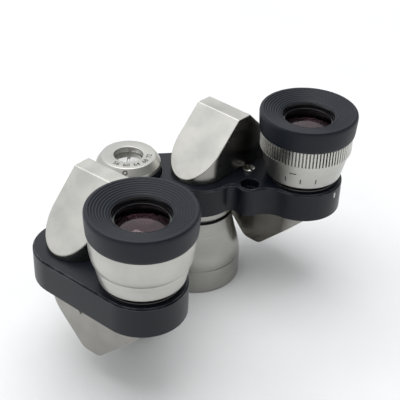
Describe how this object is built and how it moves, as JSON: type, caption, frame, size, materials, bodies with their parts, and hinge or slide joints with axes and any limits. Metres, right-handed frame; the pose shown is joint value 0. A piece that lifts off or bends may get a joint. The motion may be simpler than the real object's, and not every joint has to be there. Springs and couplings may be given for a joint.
{
  "type": "pocket binoculars",
  "caption": "Miniature reverse-layout Porro-prism binoculars: silver prism housings and barrels on black plates, centre focus, folding hinge, dioptre ring.",
  "frame": {"origin": "on the standing surface, at the middle of the outer box, midway between the two halves", "axes": "+X from the left half to the right half, +Y towards the hinge, +Z from the objectives up to the eyepieces"},
  "size_m": [0.0808, 0.052, 0.048],
  "materials": {
    "satin_nickel": "satin plated, fine blasted grain",
    "black_enamel": "semi-matt baked enamel",
    "black_anodised": "black anodised",
    "eyecup_black": "satin with turned grooves",
    "bright_screw": "polished",
    "steel_axle": "ground",
    "spring_brass": "machined",
    "prism_glass": "polished",
    "coated_glass": "coated, faint purple and amber reflex"
  },
  "bodies": {
    "left_half": {"hinge_axle": "steel_axle", "hinge_cap": "satin_nickel", "hinge_cap_screw": "bright_screw", "hinge_spacer": "black_anodised", "focus_retaining_washer": "bright_screw", "focus_retaining_screw": "bright_screw", "left_body_plate": "black_enamel", "left_top_prism_housing": "satin_nickel", "left_lower_prism_housing": "satin_nickel", "left_top_prism": "prism_glass", "left_lower_prism": "prism_glass", "left_top_prism_clip": "spring_brass", "left_lower_prism_clip": "spring_brass", "left_objective_sleeve": "black_anodised", "left_objective_collar": "satin_nickel", "left_eyepiece_tube": "black_anodised", "left_plate_screws": "bright_screw", "left_lens_cell": "black_anodised", "left_field_lens": "coated_glass", "left_field_stop": "black_anodised", "left_eye_lens": "coated_glass", "left_eye_lens_retainer": "black_anodised", "left_eyepiece_skirt": "satin_nickel", "left_eyepiece_ring": "satin_nickel", "left_eyecup": "eyecup_black"},
    "right_half": {"right_body_plate": "black_enamel", "right_top_prism_housing": "satin_nickel", "right_lower_prism_housing": "satin_nickel", "right_top_prism": "prism_glass", "right_lower_prism": "prism_glass", "right_top_prism_clip": "spring_brass", "right_lower_prism_clip": "spring_brass", "right_objective_sleeve": "black_anodised", "right_objective_collar": "satin_nickel", "right_eyepiece_tube": "black_anodised", "right_plate_screws": "bright_screw"},
    "focus_wheel": {"focus_wheel": "black_anodised"},
    "left_objective": {"left_objective_barrel": "satin_nickel", "left_objective_lens": "coated_glass", "left_objective_retainer": "black_anodised", "left_focus_arm": "black_enamel", "focus_carrier": "spring_brass", "focus_carrier_clip": "bright_screw"},
    "right_objective": {"right_objective_barrel": "satin_nickel", "right_objective_lens": "coated_glass", "right_objective_retainer": "black_anodised", "right_focus_arm": "black_enamel"},
    "dioptre_cell": {"right_lens_cell": "black_anodised", "right_field_lens": "coated_glass", "right_field_stop": "black_anodised", "right_eye_lens": "coated_glass", "right_eye_lens_retainer": "black_anodised"},
    "dioptre_ring": {"right_dioptre_ring": "satin_nickel", "right_eyepiece_skirt": "satin_nickel", "right_eyecup": "eyecup_black"}
  },
  "joints": [
    {"name": "interpupillary_hinge", "type": "hinge", "parent": "left_half", "child": "right_half", "pos_m": [0, 0.01804, 0.026], "axis": [0, 0, 1], "range_deg": [-1, 92]},
    {"name": "focus_wheel_turn", "type": "hinge", "parent": "left_half", "child": "focus_wheel", "pos_m": [0, 0.01804, 0.0176], "axis": [0, 0, 1], "range_deg": [-90.5, 240.5]},
    {"name": "left_objective_slide", "type": "slide", "parent": "left_half", "child": "left_objective", "axis": [0, 0, -1], "range_m": [-0.0006, 0.0016]},
    {"name": "right_objective_slide", "type": "slide", "parent": "right_half", "child": "right_objective", "axis": [0, 0, -1], "range_m": [-0.00061, 0.00161]},
    {"name": "dioptre_cell_slide", "type": "slide", "parent": "right_half", "child": "dioptre_cell", "axis": [0, 0, 1], "range_m": [-0.00034, 0.00034]},
    {"name": "dioptre_ring_turn", "type": "hinge", "parent": "dioptre_cell", "child": "dioptre_ring", "pos_m": [0.02863, -0.01424, 0.038], "axis": [0, 0, 1], "range_deg": [-60, 60]}
  ],
  "couplings": [
    {"joint": "focus_wheel_turn", "follows": "left_objective_slide", "rad_per_m": 2618},
    {"joint": "right_objective_slide", "follows": "left_objective_slide", "ratio": 1},
    {"joint": "dioptre_cell_slide", "follows": "dioptre_ring_turn", "m_per_rad": 0.00031831}
  ]
}
